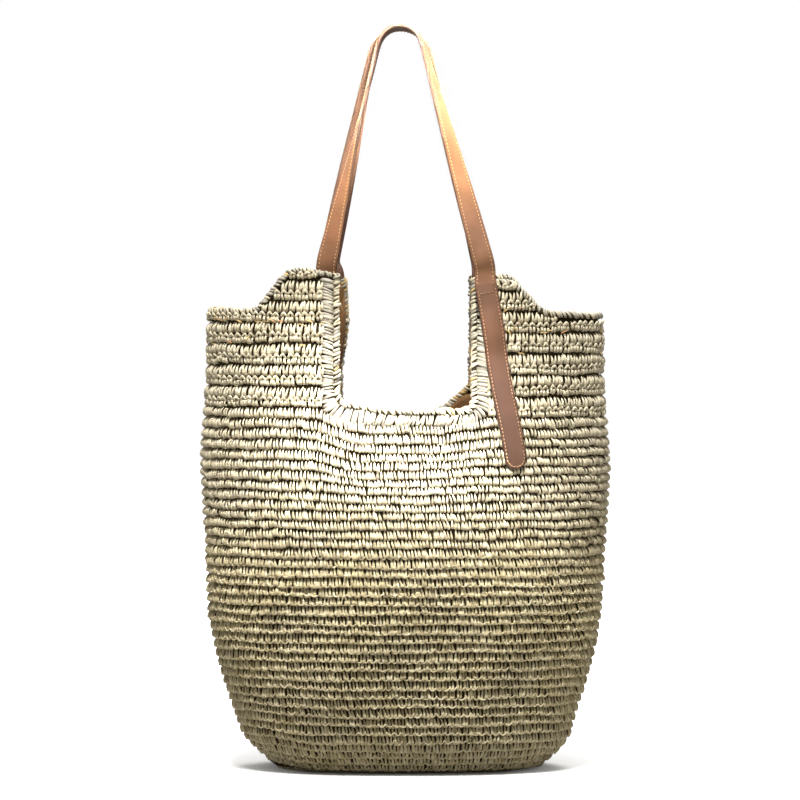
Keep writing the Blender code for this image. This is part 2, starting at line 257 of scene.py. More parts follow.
def droop(bearing, z):
    """How much lower a round lies at a bearing than on the bag's left side."""
    x = wall(bearing, z)[..., 0]
    left = ease((x + 0.098) / 0.062)
    right = ease((x - 0.020) / 0.065)
    low = MIDDLE_DROOP * left - (MIDDLE_DROOP - RIGHT_DROOP) * right
    return low * ease((z - DROOP_FROM) / (ROUNDS_TOP - DROOP_FROM)) ** 1.2


class Level:
    """One closed line round the wall at a height: bearings by their distance from the left
    side's middle, counter-clockwise seen from above."""

    def __init__(self, z):
        self.bearings = np.linspace(pi, 3 * pi, 1441)
        self.run = run_along(wall(self.bearings, z))
        self.length = self.run[-1]

    def bearing(self, run):
        turns = np.floor(run / self.length)
        inside = np.interp(run - turns * self.length, self.run, self.bearings)
        return inside + 2 * pi * turns

    def run_at(self, bearing):
        turns = np.floor((bearing - pi) / (2 * pi))
        inside = np.interp(bearing - 2 * pi * turns, self.bearings, self.run)
        return inside + turns * self.length


# ---------------------------------------------------------------- meshes

def link(obj):
    """Puts an object in the scene."""
    bpy.context.scene.collection.objects.link(obj)
    return obj


def mesh_from(name, verts, faces, looks, face_looks=None, **attributes):
    """A mesh object from an array of points and arrays of faces with the same corner count."""
    data = bpy.data.meshes.new(name)
    data.vertices.add(len(verts))
    data.vertices.foreach_set("co", np.ascontiguousarray(verts, np.float32).ravel())
    corners = np.concatenate([f.ravel() for f in faces]).astype(np.int32)
    sizes = np.concatenate([np.full(len(f), f.shape[1]) for f in faces])
    starts = np.concatenate([[0], np.cumsum(sizes)[:-1]]).astype(np.int32)
    data.loops.add(len(corners))
    data.loops.foreach_set("vertex_index", corners)
    data.polygons.add(len(sizes))
    data.polygons.foreach_set("loop_start", starts)
    for look in looks:
        data.materials.append(look)
    if face_looks is not None:
        data.polygons.foreach_set("material_index", face_looks.astype(np.int32))
    data.update(calc_edges=True)
    data.polygons.foreach_set("use_smooth", np.full(len(sizes), True))
    for key, value in attributes.items():
        kind = "FLOAT_VECTOR" if value.ndim == 2 else "FLOAT"
        layer = data.attributes.new(key, kind, "POINT")
        field = "vector" if value.ndim == 2 else "value"
        layer.data.foreach_set(field, np.ascontiguousarray(value, np.float32).ravel())
    data.validate()
    return link(bpy.data.objects.new(name, data))


def on_bag(piece, slot, *nodes):
    """The piece moves with the bag, and takes the place of the nodes."""
    if nodes:
        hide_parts(*nodes)
    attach(piece, "bag")


def unit(vectors):
    """The same directions, one unit long."""
    return vectors / np.linalg.norm(vectors, axis=-1, keepdims=True)


def off_line(vectors, along):
    """Unit vectors: what is left of vectors once their share along a line is taken off."""
    return unit(vectors - along * np.sum(vectors * along, -1, keepdims=True))


def run_along(line):
    """Distance of each point of a line from its start."""
    return np.concatenate([[0.0], np.cumsum(np.linalg.norm(np.diff(line, axis=0), axis=1))])


def grid_quads(rows, columns, wrap):
    """Faces between the points of a grid, with its last column joined to its first if wrap."""
    i, j = np.divmod(np.arange((rows - 1) * (columns - 1 + wrap)), columns - 1 + wrap)
    a, b = i * columns + j, i * columns + (j + 1) % columns
    return np.stack([a, b, b + columns, a + columns], -1)


def tube_faces(count, sections):
    """Quads along each tube and a cap on each end, for count tubes of sections x SIDES points."""
    first = np.arange(count)[:, None, None] * sections * SIDES
    i = np.arange(sections - 1)[None, :, None]
    j = np.arange(SIDES)[None, None, :]
    a = first + i * SIDES + j
    b = first + i * SIDES + (j + 1) % SIDES
    quads = np.stack([a, b, b + SIDES, a + SIDES], -1).reshape(-1, 4)
    start = first[:, 0, :] + np.arange(SIDES)[::-1][None, :]
    end = first[:, 0, :] + (sections - 1) * SIDES + np.arange(SIDES)[None, :]
    return [quads, np.concatenate([start, end])]


def ribbons(u, v, w, half_width, half_thick, twist, crease):
    """Flattened tubes round centre lines, in local points (u along the row, v up, w out), and
    their half widths. u, v and w are arrays of count x sections, and the others are arrays
    of that size or of count x 1."""
    line = np.stack([u, v, w], -1)
    along = unit(np.gradient(line, axis=1))
    overall = (line[:, -1:] - line[:, :1]) * np.array([1.0, 1.0, 0.0])
    width = off_line(unit(np.cross(overall, np.array([0.0, 0.0, 1.0]))) + 0 * along, along)
    thick = np.cross(width, along)
    ct, st = np.cos(twist)[..., None], np.sin(twist)[..., None]
    width, thick = width * ct + thick * st, thick * ct - width * st
    around = AROUND[None, None, :, None]
    bent = crease[..., None, None] * np.cos(2 * around)
    points = line[:, :, None, :]
    points = points + width[:, :, None, :] * np.cos(around) * half_width[..., None, None]
    points = points + thick[:, :, None, :] * (np.sin(around) + bent) * half_thick[..., None, None]
    return points, half_width


class Crochet:
    """Gathers the ribbons of one piece of crochet, and the closed layers of painted shade behind them.
    """

    def __init__(self, name):
        self.name = name
        self.strands = []
        self.backs = []

    def add(self, ribbon, length, tint, to_space):
        """Ribbons, with to_space turning their local points into settled ones. tint is 1 for
        golden strands, 2 for orange ones, -1 for taupe ones and 0 for plain straw."""
        local, half_width = ribbon
        count, sections = local.shape[:2]
        each = np.ones((count, sections, SIDES))
        along = np.linspace(0, length, sections)[None, :, None] * each
        across = np.cos(AROUND) * half_width[..., None] * each
        strand = np.stack([along, across, rng.random(count)[:, None, None] * each], -1)
        tint = np.broadcast_to(tint, count)[:, None, None] * each
        self.strands.append((to_space(local), tube_faces(count, sections), 0, strand, tint))

    def back(self, rows, wrap):
        """A closed thin layer of painted shade through rows of points: rows x columns x 2 (outer,
        inner) x 3.
        """
        grid = np.array(rows)
        plain = np.zeros(grid.shape)
        faces = layer_faces(*grid.shape[:2], wrap)
        self.backs.append((grid, faces, 1, plain, plain[..., 0]))

    def build(self, node):
        parts = self.strands + self.backs
        first = 0
        faces, looks = [], []
        for points, made, look, _, _ in parts:
            faces += [f + first for f in made]
            looks += [np.full(len(f), look) for f in made]
            first += points.size // 3
        verts, strand = (np.concatenate([p[k].reshape(-1, 3) for p in parts]) for k in (0, 3))
        tint = np.concatenate([p[4].ravel() for p in parts])
        made = mesh_from(self.name, verts, faces, [straw_look, painted_gap_shade_look], np.concatenate(looks),
                         strand=strand, tint=tint)
        on_bag(made, "straw", node)


def layer_faces(rows, columns, wrap):
    """Faces of a closed thin layer whose points are rows x columns x 2."""
    quads = grid_quads(rows, columns, wrap) * 2

    def edge(points):
        p, q = points[:-1] * 2, points[1:] * 2
        return np.stack([p, q, q + 1, p + 1], -1)

    across = np.arange(columns + wrap) % columns
    faces = [quads, quads[:, TURNED] + 1, edge(across)[:, ::-1]]
    faces.append(edge((rows - 1) * columns + across))
    if not wrap:
        up = np.arange(rows) * columns
        faces += [edge(up), edge(up + columns - 1)[:, ::-1]]
    return faces


# ---------------------------------------------------------------- stitches

# One leg of a stitch, from its lip at the row's lower edge up to where it goes under the row
# above: shares of the row's height, metres out for a hanging row and for a round one, and
# half widths as shares of the stitch
LEG_UP = np.array([0.12, 0.02, 0.06, 0.24, 0.50, 0.76, 0.97])
LEG_HANGING = np.array([-1.4, 0.6, 1.7, 1.2, 0.0, -1.5, -2.9]) * 0.001
LEG_ROUND = np.array([-2.4, -1.2, 0.2, 1.6, 1.3, -0.5, -2.7]) * 0.001
LEG_WIDE = np.array([0.14, 0.20, 0.245, 0.24, 0.20, 0.15, 0.085])
LEG_LENGTH = 0.011                # of ribbon in a leg
LIP_LENGTH = 0.007                # and in a lip, a cap or a coloured strand


def jitter(count, size):
    """Random differences with this standard deviation, as a hand-made thing has."""
    return rng.normal(0.0, size, count)


def vary(count, size):
    """The same as a column, one value for each line of a table."""
    return jitter(count, size)[:, None]


def legs(centres, width, height, out=0.0, lean=-0.14, spread=(0.235, 0.255), roll=1.0, lift=0.0):
    """Two legs of ribbon for each stitch, nearer each other at their feet. centres are the
    stitches' distances along the row, and height is an array with each one's height."""
    count = len(centres)
    n = 2 * count
    both = np.repeat([-1.0, 1.0], count)[:, None]

    def of_stitch(size):
        return np.tile(jitter(count, size), 2)[:, None]

    h = np.tile(height, 2)[:, None]
    apart = spread[0] + (spread[1] - spread[0]) * LEG_UP
    tilt = lean + of_stitch(0.10) + vary(n, 0.07)
    u = np.tile(centres, 2)[:, None] + (both * apart + tilt * (LEG_UP - 0.3)) * width
    u = u + vary(n, 0.00018)
    v = lift + h * LEG_UP + of_stitch(0.00045) + vary(n, 0.00035)
    shape = LEG_HANGING + (LEG_ROUND - LEG_HANGING) * roll
    w = out + shape + (of_stitch(0.00035) + vary(n, 0.00025)) * (shape > -1e-3)
    half_width = LEG_WIDE * width * (1 + of_stitch(0.08) + vary(n, 0.14))
    half_thick = (0.00085 + 0.0002 * (shape > 0)) * (1 + vary(n, 0.14))
    return ribbons(u, v, w, half_width, half_thick, vary(n, 0.24), vary(n, 0.22))


def lips(centres, width, height, roll):
    """The thin strand that hangs in small bows along the lower edge of a row."""
    n = len(centres)
    s = np.linspace(-1, 1, 6)
    u = centres[:, None] + s * width * 0.53 + vary(n, 0.0003)
    bow = (0.32 + vary(n, 0.08)) * np.abs(s) ** 1.5
    v = height[:, None] * bow + s * vary(n, 0.0005)
    w = 0.0021 - 0.0030 * roll - 0.0007 * s * s + vary(n, 0.0002)
    half_width = (0.00085 - 0.0002 * s * s) * (1 + vary(n, 0.15))
    half_thick = 0.00065 * (1 + vary(n, 0.12))
    twist = 0.3 + vary(n, 0.2)
    return ribbons(u, v, w, half_width, half_thick, twist, 0 * twist)


def caps(centres, width, height):
    """The peaked cap over each stitch of a turned row."""
    n = len(centres)
    s = np.linspace(-1, 1, 7)
    peak = 1 - np.abs(s) ** 1.4
    u = centres[:, None] + s * width * 0.47 + vary(n, 0.0002)
    v = height[:, None] * (0.56 + 0.38 * peak) + s * width * 0.03 + vary(n, 0.00025)
    w = 0.0003 + 0.0011 * (1 - s * s) - 0.0016 * (np.abs(s) > 0.9) + vary(n, 0.0002)
    shape = np.array([0.55, 0.80, 0.95, 1.15, 0.95, 0.80, 0.55])
    half_width = shape * 0.00150 * (1 + vary(n, 0.08))
    half_thick = shape * 0.00110 * (1 + vary(n, 0.10))
    twist = -0.25 + vary(n, 0.2)
    return ribbons(u, v, w, half_width, half_thick, twist, vary(n, 0.12))


def glints(centres, width, height):
    """Thin coloured strands low between the stitches of a turned row."""
    n = len(centres)
    s = np.linspace(-1, 1, 6)
    u = centres[:, None] + s * width * 0.45 + vary(n, 0.0005)
    v = height[:, None] * 0.12 + s * vary(n, 0.0014) + vary(n, 0.0022)
    w = 0.0010 * (1 - s * s) + 0.0008 + vary(n, 0.0003)
    half_width = 0.00058 * (1 + vary(n, 0.25))
    half_thick = 0.00050 * (1 + vary(n, 0.15))
    return ribbons(u, v, w, half_width, half_thick, 0 * half_width, 0 * half_width)


def strand_tints(count, z):
    """0 for plain straw, 1 for a golden strand and 2 for an orange one, which are scattered
    in a belt under the rim."""
    belt = np.exp(-((z - 0.432) / 0.017) ** 2)
    chance = rng.random(count)
    tint = np.where(chance < 0.55 * belt, 1.0, 0.0)
    return np.where(chance < 0.22 * belt, 2.0, tint)


class Row:
    """One row or round on the wall between two lines, low and high, functions of bearing."""

    def __init__(self, low, high):
        self.low = low
        self.high = high
        self.level = Level(float(np.mean(low(np.linspace(0, 2 * pi, 40)))))

    def heights(self, runs):
        b = self.level.bearing(runs)
        return self.high(b) - self.low(b)

    def place(self, local):
        """Local points (distance along the row, height over its lower line, out) in space."""
        b = self.level.bearing(local[..., 0])
        return out_from(wall(b, self.low(b) + local[..., 1]), local[..., 2])

    def add_legs(self, crochet, runs, width, heights, **shape):
        crochet.add(legs(runs, width, heights, **shape), LEG_LENGTH, 0, self.place)

    def add_lips(self, crochet, runs, width, roll):
        ribbon = lips(runs, width, self.heights(runs), roll)
        crochet.add(ribbon, LIP_LENGTH, 0, self.place)

    def add_caps(self, crochet, runs, width, heights):
        """Caps, and between them the coloured strands."""
        crochet.add(caps(runs, width, heights), LIP_LENGTH, 0, self.place)
        local, half_width = glints(runs + width / 2, width, heights)
        tint = strand_tints(len(local), self.low(self.level.bearing(runs)))
        keep = tint > 0
        if keep.any():
            crochet.add((local[keep], half_width[keep]), LIP_LENGTH, tint[keep], self.place)


def round_levels():
    """Heights between the rounds on the left side, evenly spaced along the wall."""
    z = np.linspace(FIRST_ROUND, ROUNDS_TOP, 600)
    slope = (growth(z, 0) + growth(z, 1)) / 2
    pitch = ROUND_PITCH[0] + (ROUND_PITCH[1] - ROUND_PITCH[0]) * ease((z - 0.22) / 0.12)
    rate = np.sqrt(1 + slope * slope) / pitch
    count_so_far = np.concatenate([[0], np.cumsum((rate[1:] + rate[:-1]) / 2 * np.diff(z))])
    rounds = int(round(count_so_far[-1]))
    return np.interp(np.arange(rounds + 1) * count_so_far[-1] / rounds, count_so_far, z)


def wobble(bearing, number):
    """Small waves of a hand-made row, in metres."""
    return 0.0006 * np.sin(5 * bearing + 1.9 * number) + 0.0004 * np.sin(11 * bearing + 0.7 * number)


def round_line(z, number):
    """The line between two rounds, as a function of bearing."""
    still = ease((z - FIRST_ROUND) / 0.02)
    return lambda b: z - droop(b, z) + wobble(b, number) * still


def wall_shade_layer(low, high, rows):
    """The layer of painted shade behind whole rounds, between two lines."""
    b = np.linspace(0, 2 * pi, 220, endpoint=False)
    return [shade_layer_row(wall(b, low(b) + (high(b) - low(b)) * t)) for t in np.linspace(0, 1, rows)]


def rounds():
    """The wall's rounds, in pieces from the base up."""
    levels = round_levels()
    count = len(levels) - 1
    pieces = 8
    for k in range(pieces):
        first = count * k // pieces
        last = count * (k + 1) // pieces
        crochet = Crochet(f"straw_rounds_{k + 1}")
        for n in range(first, last):
            row = Row(round_line(levels[n], n), round_line(levels[n + 1], n + 1))
            stitches = int(round(row.level.length / STITCH))
            runs = (np.arange(stitches) + 0.5 * (n % 2)) * row.level.length / stitches
            runs = runs + jitter(stitches, 0.00025)
            width = row.level.length / stitches
            roll = float(ease((levels[n] - 0.175) / 0.06))
            heights = row.heights(runs) * (1 - 0.10 * roll)
            row.add_legs(crochet, runs, width, heights, roll=roll, lift=0.0012 * roll,
                         spread=(0.20 + 0.035 * roll, 0.255))
            if roll < 0.7:
                row.add_lips(crochet, runs + (0.3 + 0.2 * np.sin(3.1 * n)) * width, width, roll)
        low = round_line(levels[first], first)
        high = round_line(levels[last], last)
        crochet.back(wall_shade_layer(low, high, (last - first) * 2 + 1), True)
        crochet.build("straw_body")


def base():
    """The oval start of the crochet: rounds on the floor and the turn up into the wall."""
    crochet = Crochet("straw_base_rounds")
    count = 5
    pitch = BASE_HALF[1] / count
    ring = Level(0.0)
    for n in range(count):
        outer = pitch * n
        scale = (BASE_HALF[0] - outer - pitch / 2) / BASE_HALF[0]
        stitches = int(round(ring.length * scale / STITCH))
        runs = (np.arange(stitches) + 0.5 * (n % 2)) * ring.length / stitches

        def place(points, outer=outer):
            inset = outer + pitch - points[..., 1]
            z = np.maximum(BASE_STITCH_Z - points[..., 2], LOWEST)
            return oval(ring.bearing(points[..., 0]), BASE_HALF[0] - inset, BASE_HALF[1] - inset, z)

        ribbon = legs(runs, ring.length / stitches, np.full(stitches, pitch))
        crochet.add(ribbon, 0.009, 0, place)
    rows = []
    b = np.linspace(0, 2 * pi, 160, endpoint=False)
    for inset in (BASE_HALF[1] - 0.001, BASE_HALF[1] / 2, 0.0):
        half = (BASE_HALF[0] - inset, BASE_HALF[1] - inset)
        rows.append(np.stack([oval(b, *half, z) for z in BASE_SHADE_LAYER_Z], 1))
    edge = wall(b, FIRST_ROUND + 0.002)
    rows.append(np.stack([edge + normal(edge) * o for o in SHADE_LAYER_OUT], 1))
    crochet.back(rows, True)
    crochet.build("straw_base")


def cutout_bearing(x):
    """Bearing, from the nearer side's middle, of a distance from the bag's middle plane."""
    return acos((x / float(half_size(CUTOUT_Z, 0))) ** (ROUNDNESS / 2))


def wing(name, node, middle, start):
    """Rows worked back and forth: plain legs, then a turned row with a cap over each stitch."""
    crochet = Crochet(name)
    edge = cutout_bearing(CUTOUT_HALF + BAND - 0.0010)
    rows = int((EAR_TOP + EAR_LEAN - start) / ROW_PITCH) + 1

    def line(n):
        return lambda b: start + n * ROW_PITCH + wobble(b, n + 40)

    for n in range(rows):
        row = Row(line(n), line(n + 1))
        from_run = row.level.run_at(middle - edge)
        to_run = row.level.run_at(middle + edge)
        stitches = int(round((to_run - from_run) / WING_STITCH))
        width = (to_run - from_run) / stitches
        phase = 0.30 + 0.40 * rng.random()
        runs = from_run + (np.arange(stitches) + phase) * width + jitter(stitches, 0.0004)
        b = row.level.bearing(runs)
        room = rim_z(b) - 1.4 * EDGING_R - row.low(b)
        heights = np.minimum(ROW_PITCH, room)
        keep = heights > 0.42 * ROW_PITCH
        if not keep.any():
            continue
        runs, heights = runs[keep], heights[keep]
        if n % 2:
            row.add_legs(crochet, runs, width, heights, lean=0.10, spread=(0.15, 0.31))
        else:
            row.add_legs(crochet, runs, width, heights * 0.68, lean=0.0, out=-0.0006, lift=0.0016)
            row.add_caps(crochet, runs, width, heights)
    b = np.linspace(middle - edge, middle + edge, 90)
    low = start - 0.002
    reach = rim_z(b) - EDGING_R * 1.5 - low
    crochet.back([shade_layer_row(wall(b, low + reach * t)) for t in np.linspace(0, 1, 14)], False)
    crochet.build(node)


# ---------------------------------------------------------------- edging

def band_at(q, away, side):
    """(x, z) at q metres along a cutout from the middle of its floor, and away from the hole."""
    half_floor = CUTOUT_HALF - CORNER
    mid = CORNER + BAND / 2
    hand = np.sign(q)
    q = np.abs(q)
    turn = np.clip((q - half_floor) / mid, 0, pi / 2)
    up = np.maximum(q - half_floor - mid * pi / 2, 0)
    x = hand * (np.minimum(q, half_floor) + np.sin(turn) * (CORNER + away))
    z = CUTOUT_Z + CORNER - np.cos(turn) * (CORNER + away) + up
    fixed = 0.9 * np.clip((away - 2 * EDGING_R) / (BAND - 2 * EDGING_R), 0, 1)
    return x, z + floor_lift(x, side) * (1 - ease((z - CUTOUT_Z) / 0.06)) * (1 - fixed)


def band_reach():
    """How far along the band, from the floor's middle, an ear's top is."""
    rise = EAR_TOP + 0.0035 - CUTOUT_Z - CORNER
    return CUTOUT_HALF - CORNER + (CORNER + BAND / 2) * pi / 2 + rise


def cutout_band(crochet, side):
    """The row of ribs beside the rim's bead, down one ear, along the floor and up the other."""
    reach = band_reach() - 0.006
    count = int(2 * reach / (RIB * 0.80))
    q = np.linspace(-reach, reach, count) + jitter(count, 0.0003)
    s = np.linspace(0, 1, 6)
    width = BAND - 2 * EDGING_R + 0.0035
    u = q[:, None] + (s - 0.5) * (0.0040 + vary(count, 0.0016))
    v = EDGING_R * 1.35 + width * (1 - s) + vary(count, 0.0004)
    w = np.array([-0.0026, -0.0004, 0.0004, 0.0003, -0.0006, -0.0022]) + vary(count, 0.0003)
    shape = np.array([0.7, 0.95, 1.05, 1.05, 0.95, 0.75])
    half_width = shape * 0.0015 * (1 + vary(count, 0.22))
    half_thick = shape * 0.0009 * (1 + vary(count, 0.18))
    ribbon = ribbons(u, -v, w, half_width, half_thick, vary(count, 0.25), vary(count, 0.15))

    def surface(q, away):
        x, z = band_at(q, away, side)
        return panel(x, z, side)

    def place(points):
        return out_from(surface(points[..., 0], -points[..., 1]), points[..., 2])

    crochet.add(ribbon, width, -1, place)
    q = np.linspace(-reach - 0.004, reach + 0.004, 150)
    rows = [shade_layer_row(surface(q, away)) for away in np.linspace(BAND + 0.007, EDGING_R, 6)]
    crochet.back(rows, False)


def rim_path():
    """Dense closed centre line of the bead, with its corners softened."""
    edge = cutout_bearing(CUTOUT_HALF + EDGING_R)
    stretches = []
    for side, middle in ((FRONT, 0.0), (BACK, pi)):
        reach = band_reach() - 0.002
        q = np.linspace(-reach, reach, 700) * (1 if side == FRONT else -1)
        x, z = band_at(q, EDGING_R, side)
        stretches.append(out_from(panel(x, z, side), -STRAW / 2))
        b = np.linspace(middle - edge, middle + edge, 900)
        stretches.append(out_from(wall(b, rim_z(b) - EDGING_R), -STRAW / 2))
    closed = np.concatenate(stretches + [stretches[0][:1]])
    run = run_along(closed)
    even = np.linspace(0, run[-1], 3001)[:-1]
    path = np.stack([np.interp(even, run, closed[:, k]) for k in range(3)], 1)
    window = np.hanning(19)
    window /= window.sum()
    pad = len(window) // 2
    padded = np.concatenate([path[-pad:], path, path[:pad]])
    path = np.stack([np.convolve(padded[:, k], window, "valid") for k in range(3)], 1)
    return path, run[-1]


def rim_edging():
    """Ribs wrapped over the rim all round, on a core dark with painted shade, and a band beside each
    cutout.
    """
    path, length = rim_path()
    count = len(path)
    spacing = length / count
    tangent = unit(np.roll(path, -1, 0) - np.roll(path, 1, 0))
    out = off_line(normal(path), tangent)
    top = np.cross(out, tangent)

    def frame_at(run):
        index = run / spacing
        low = np.floor(index).astype(int) % count
        high = (low + 1) % count
        share = (index - np.floor(index))[..., None]
        return [v[low] * (1 - share) + v[high] * share for v in (path, tangent, out, top)]

    crochet = Crochet("rim_edging_ribs")
    ribs = int(length / RIB)
    centres = (np.arange(ribs) + 0.5) * length / ribs + jitter(ribs, 0.0003)
    angles = np.radians(np.linspace(-128, 128, 9))[None, :]
    radius = (EDGING_R * 0.80) * (1 + vary(ribs, 0.15)) + 0 * angles
    slant = 0.0030 + vary(ribs, 0.0009)
    lift = 1 + 0.10 * np.sin(centres[:, None] * 31)
    u = radius * np.sin(angles)
    v = radius * np.cos(angles) * 1.05 * lift
    shape = np.array([0.7, 0.9, 1.0, 1.05, 1.08, 1.05, 1.0, 0.9, 0.7])[None, :]
    half_width = shape * 0.00165 * (1 + vary(ribs, 0.16))
    half_thick = shape * 0.00095 * (1 + vary(ribs, 0.16))
    # Around each rib's own line: its width lies along the rim and its thickness away from it
    around = AROUND[None, None, :]
    wide = np.cos(around) * half_width[..., None]
    thick = np.sin(around) * half_thick[..., None]
    centre, along, outward, upward = frame_at(centres[:, None] + slant * angles / 2)
    away = outward * np.sin(angles)[..., None] + upward * np.cos(angles)[..., None]
    line = centre + outward * u[..., None] + upward * v[..., None]
    points = line[:, :, None, :] + along[:, :, None, :] * -wide[..., None]
    points = points + away[:, :, None, :] * thick[..., None]
    tint = np.where(rng.random(ribs) < 0.03, 1.0, np.where(rng.random(ribs) < 0.5, -1.0, 0.0))
    tint = np.where((centre[:, 4, 1] > 0) & (rng.random(ribs) < 0.30), 1.0, tint)
    crochet.add((points, half_width), 0.014, tint, lambda p: p)
    cutout_band(crochet, FRONT)
    cutout_band(crochet, BACK)
    crochet.build("rim_edging")

    # The core under the ribs, dark with painted shade: a closed ring of eight-sided sections
    core_angles = np.arange(8)[None, :, None] * pi / 4
    pick = np.arange(0, count, 3)
    core = path[pick][:, None, :] + CORE_R * (
        out[pick][:, None, :] * np.sin(core_angles) + top[pick][:, None, :] * np.cos(core_angles))
    quads = grid_quads(len(pick) + 1, 8, True) % (len(pick) * 8)
    inner = mesh_from("rim_edging_core", core.reshape(-1, 3), [quads[:, TURNED]], [painted_gap_shade_look])
    on_bag(inner, "straw", "rim_edging")


# ---------------------------------------------------------------- lining

def lining_out(b, z):
    """Points of the lining: hung inside the straw, with soft creases that bow inwards."""
    fold = 0.5 + 0.5 * np.sin(23 * b + 14 * z + 2.2 * np.sin(9 * z + 2 * b))
    fine = 0.5 + 0.5 * np.sin(61 * b - 33 * z + 1.7 * np.sin(17 * z))
    away = ease((rim_z(b) - z) / 0.05)
    return out_from(wall(b, z), -HUNG_IN - away * (0.0026 * fold ** 2 + 0.0009 * fine ** 2))


def lining_panel(name, node, start):
    """Half of the lining's wall, from one side seam to the other."""
    edge = cutout_bearing(CUTOUT_HALF + 0.0030)
    half = pi / 2
    ear = np.linspace(0.0006, edge, 60)
    middle = np.linspace(edge, pi - edge, 70)[1:-1]
    b = start + np.concatenate([ear, middle, pi - ear[::-1]])
    over_ear = np.abs(np.abs(b - start - half) - half) <= edge + 1e-9
    side = FRONT if start > 0 else BACK
    x = wall(b, np.full(len(b), CUTOUT_Z))[..., 0]
    floor_x = x[~over_ear]
    cut = CUTOUT_Z - 0.0050 + floor_lift(np.clip(x, floor_x.min(), floor_x.max()), side)
    low_rows = 60
    rows = [lining_out(b, LINING_SPLIT + (cut - LINING_SPLIT) * t) for t in
            np.linspace(0, 1, low_rows)]
    tops = rim_z(b) - 0.0050
    for t in np.linspace(0, 1, 23)[1:]:
        rows.append(lining_out(b, np.where(over_ear, cut + (tops - cut) * t, cut)))
    points = np.array(rows)
    quads = grid_quads(len(rows), len(b), False)
    i, j = np.divmod(quads[:, 0], len(b))
    quads = quads[(i < low_rows - 1) | (over_ear[j] & over_ear[j + 1])]
    used, quads = np.unique(quads, return_inverse=True)
    round_bag = np.tile(b, len(rows)) * 0.14
    cloth = np.stack([round_bag, points[..., 2].ravel(), 0 * round_bag], -1)[used]
    verts = points.reshape(-1, 3)[used]
    sheet = mesh_from(name, verts, [quads.reshape(-1, 4)], [lining_look], cloth=cloth)
    finish_cloth(sheet, node)


def lining_floor():
    """The lining's base: its flat floor and the curved foot up to the seam."""
    b = np.linspace(0, 2 * pi, 180, endpoint=False)
    inner = (BASE_HALF[0] - 0.012, BASE_HALF[1] - 0.012)
    rows = []
    for share in (0.02, 0.3, 0.6, 0.85, 1.0):
        a, c = inner[0] - inner[1] * (1 - share), inner[1] * share
        rows.append(oval(b, a, c, STRAW + 0.0012))
    for z in np.linspace(0.0105, LINING_SPLIT + 0.001, 8):
        rows.append(out_from(wall(b, np.full(len(b), z)), -LINING_INSET - 0.0012))
    quads = grid_quads(len(rows), len(b), True)[:, ::-1]
    verts = np.array(rows).reshape(-1, 3)
    sheet = mesh_from("lining_base_cloth", verts, [quads, np.arange(len(b))[None, :]],
                      [lining_look], cloth=verts)
    finish_cloth(sheet, "lining_base")


def finish_cloth(sheet, node):
    """Gives a sheet its thickness, and hangs it on the bag in the place of its node."""
    thick = sheet.modifiers.new("thickness", "SOLIDIFY")
    thick.thickness = CLOTH
    thick.offset = 0
    apply_modifiers(sheet)
    on_bag(sheet, "lining_cloth", node)


def apply_modifiers(obj):
    depsgraph = bpy.context.evaluated_depsgraph_get()
    data = bpy.data.meshes.new_from_object(obj.evaluated_get(depsgraph))
    obj.modifiers.clear()
    obj.data = data


# ---------------------------------------------------------------- leather

def swept(name, centres, widths, faces, halves, profile, look):
    """A strip through stations. profile is a closed outline of (share of half width, height)."""
    across, high = np.array(profile).T
    w = across[None, :, None] * halves[:, None, None]
    points = centres[:, None, :] + widths[:, None, :] * w
    points = points + faces[:, None, :] * high[None, :, None]
    n, k = points.shape[:2]
    quads = grid_quads(n, k, True)[:, TURNED]
    ends = np.stack([np.arange(k), (n - 1) * k + np.arange(k)[::-1]])
    strip = np.broadcast_arrays(run_along(centres)[:, None], across[None, :], high[None, :])
    strip = np.stack(strip, -1).reshape(-1, 3)
    made = mesh_from(name, points.reshape(-1, 3), [quads, ends], [look], strip=strip)
    made.data.set_sharp_from_angle(angle=radians(50))
    return made


def leather_outline(thick, base, crown):
    """Closed outline of a leather ply: crowned on top, pressed in along the two seams."""
    top = []
    half = (0.2, 0.5, 0.70, GROOVE, 0.86, 0.93, 0.985, 1.0)
    for s in [-s for s in half[::-1]] + list(half):
        edge = 1 - abs(s)
        rise = min(1.0, (edge / 0.07)) ** 0.5 if edge < 0.07 else 1.0
        press = 0.00016 * np.exp(-((abs(s) - GROOVE) / 0.05) ** 2)
        top.append((s, base + thick * (0.45 + 0.55 * rise) + crown * (1 - s * s) - press))
    bottom = [(1.0, base + 0.1 * thick), (0.97, base), (-0.97, base), (-1.0, base + 0.1 * thick)]
    return top + bottom


def stitches_along(name, stations, offsets, height, look, extra=()):
    """Thread stitches that follow a strip at distances from its centre line, and extra ones."""
    centres = stations[0]
    run = run_along(centres)
    lines = []
    for offset in offsets:
        starts = 0.001 + np.arange(int((run[-1] - 0.002) / THREAD_SPACING)) * THREAD_SPACING
        s = starts[:, None] + np.linspace(0, THREAD_STITCH, 5)[None, :]
        at = [np.stack([np.interp(s, run, v[:, k]) for k in range(3)], -1) for v in stations]
        rise = height + np.sign(height) * THREAD_DIP[None, :, None]
        lines.append(at[0] + at[1] * offset + at[2] * rise)
    tubes = []
    around = AROUND[None, None, :, None]
    shape = THREAD_SHAPE[None, :, None, None] * THREAD_R
    for line in lines + list(extra):
        along = unit(np.gradient(line, axis=1))
        helper = unit(np.cross(along, np.array([0.31, 0.87, 0.38])))
        other = np.cross(along, helper)
        tubes.append(line[:, :, None, :] + shape * (
            helper[:, :, None, :] * -np.cos(around) + other[:, :, None, :] * np.sin(around)))
    tubes = np.concatenate(tubes)
    return mesh_from(name, tubes.reshape(-1, 3), tube_faces(len(tubes), 5), [look])


